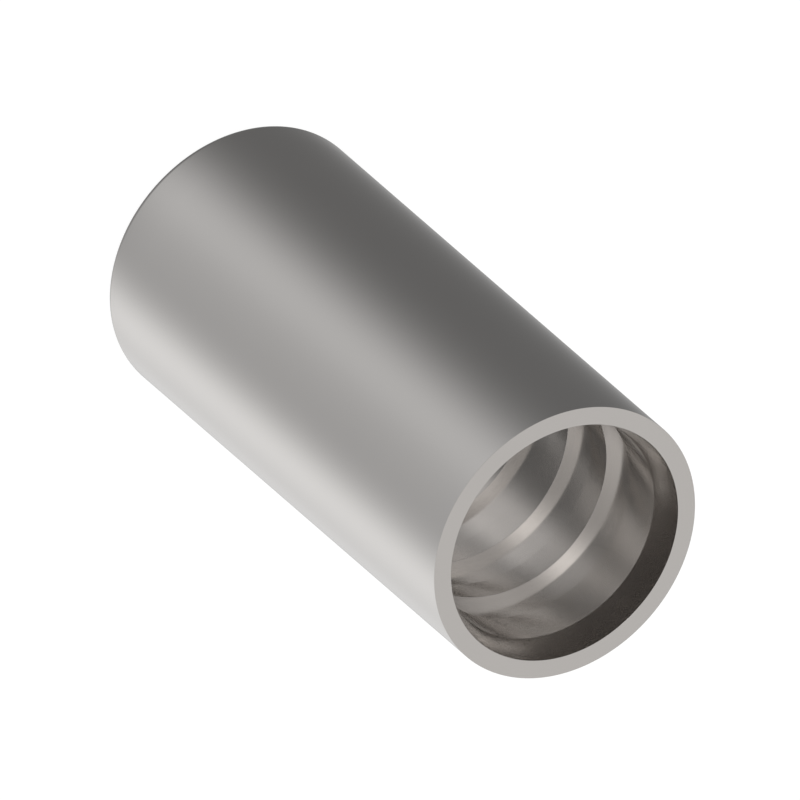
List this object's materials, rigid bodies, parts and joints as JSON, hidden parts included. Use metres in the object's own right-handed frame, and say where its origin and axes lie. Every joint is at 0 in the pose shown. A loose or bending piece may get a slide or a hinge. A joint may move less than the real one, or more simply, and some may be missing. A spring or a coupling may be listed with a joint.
{
  "type": "crimp hose ferrule",
  "caption": "Long open metal sleeve that is crimped over a hydraulic hose end: plain round outside, tapered mouth and square grip grooves in the bore.",
  "frame": {"origin": "centre of the rear face, on the axis; the ferrule stands on this face", "axes": "+Z along the axis, from the rear face out of the hose mouth; X and Y are free, as the piece is round"},
  "size_m": [0.03, 0.03, 0.0655],
  "materials": {
    "turned_steel": "fine turned steel, satin, slightly warm grey"
  },
  "bodies": {
    "root": {"ferrule": "turned_steel"}
  },
  "joints": []
}
